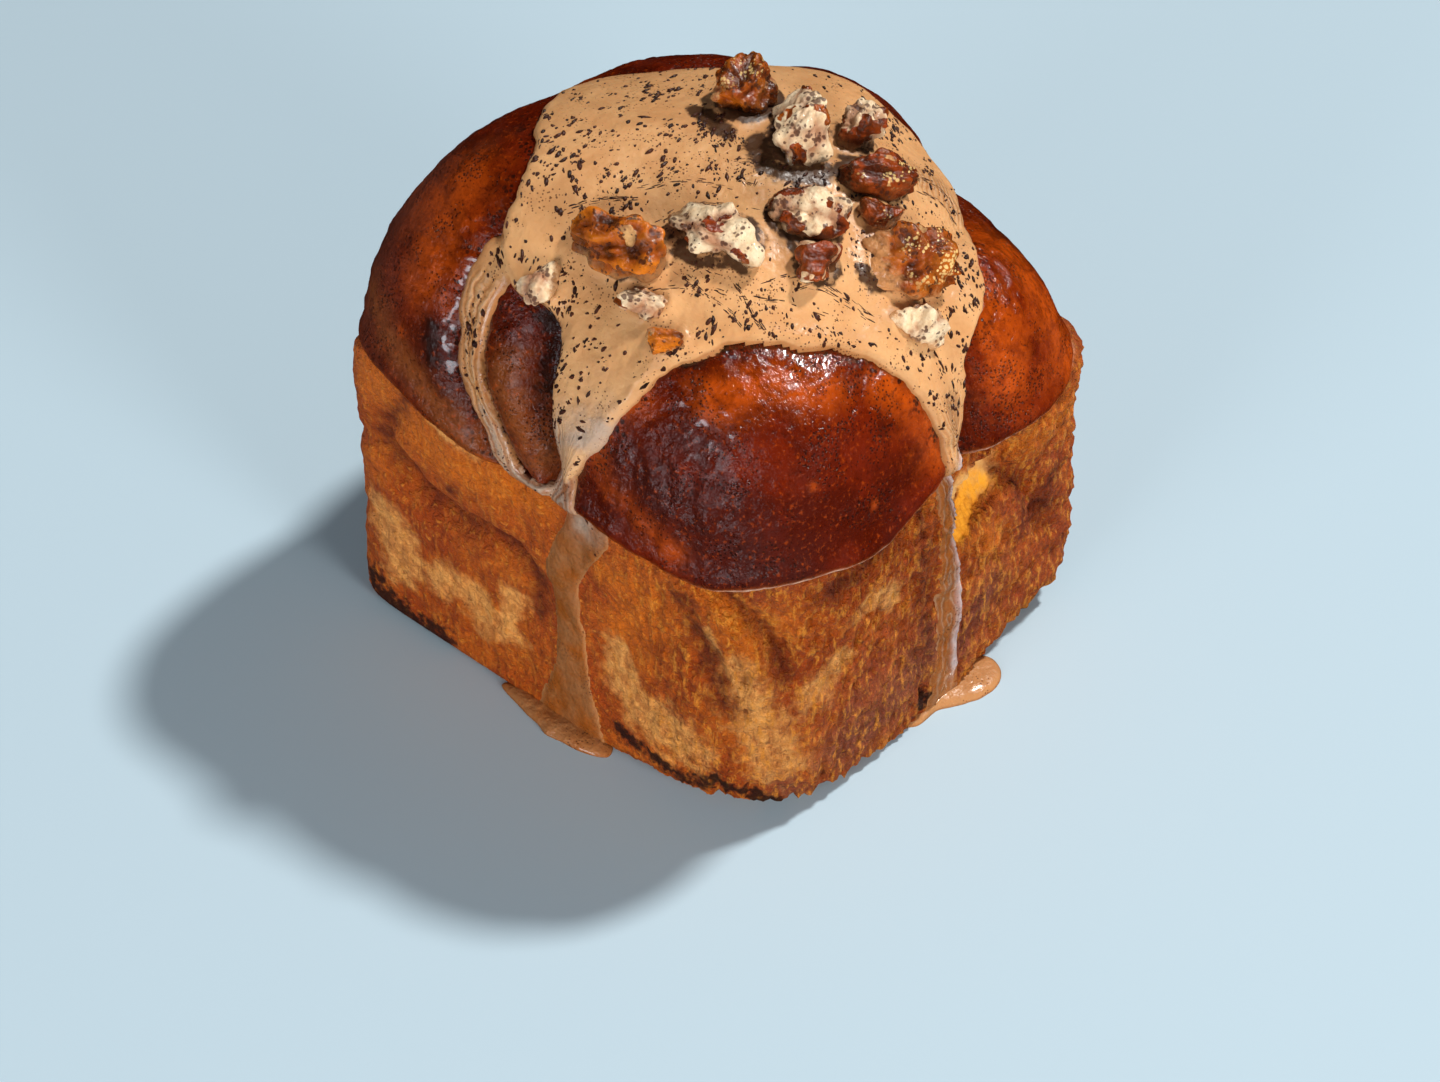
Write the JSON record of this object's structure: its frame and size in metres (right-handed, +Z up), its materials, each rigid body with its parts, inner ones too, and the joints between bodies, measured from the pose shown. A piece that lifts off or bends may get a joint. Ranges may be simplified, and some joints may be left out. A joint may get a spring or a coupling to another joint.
{
  "type": "pecan babka",
  "caption": "Tall bun of babka dough with a lobed glossy crown over straight baked sides, poured coffee icing that runs to the floor, and broken candied pecans on top.",
  "frame": {"origin": "on the flat base, under the point inside the loaf that its shape is measured from", "axes": "+Z up, -Y out of the side with the wide run of icing, +X out of the side with the narrow run"},
  "size_m": [0.116, 0.1041, 0.1248],
  "materials": {
    "crust": "baked crust, glossy egg-washed crown and matt open crumb on the sides",
    "icing": "wet poured coffee icing with dark specks",
    "pecan": "candied nut, glossy brown skin and pale broken faces"
  },
  "bodies": {
    "root": {"loaf": "crust", "icing": "icing", "icing_puddle_left": "icing", "icing_puddle_right": "icing", "pecan_back": "pecan", "pecan_white_back": "pecan", "pecan_back_right": "pecan", "pecan_brown_right": "pecan", "pecan_glazed": "pecan", "pecan_middle": "pecan", "pecan_small": "pecan", "pecan_white_front": "pecan", "pecan_orange": "pecan", "pecan_chip_left": "pecan", "pecan_pale": "pecan", "pecan_large_right": "pecan", "pecan_white_right": "pecan", "pecan_crumb": "pecan"}
  },
  "joints": []
}
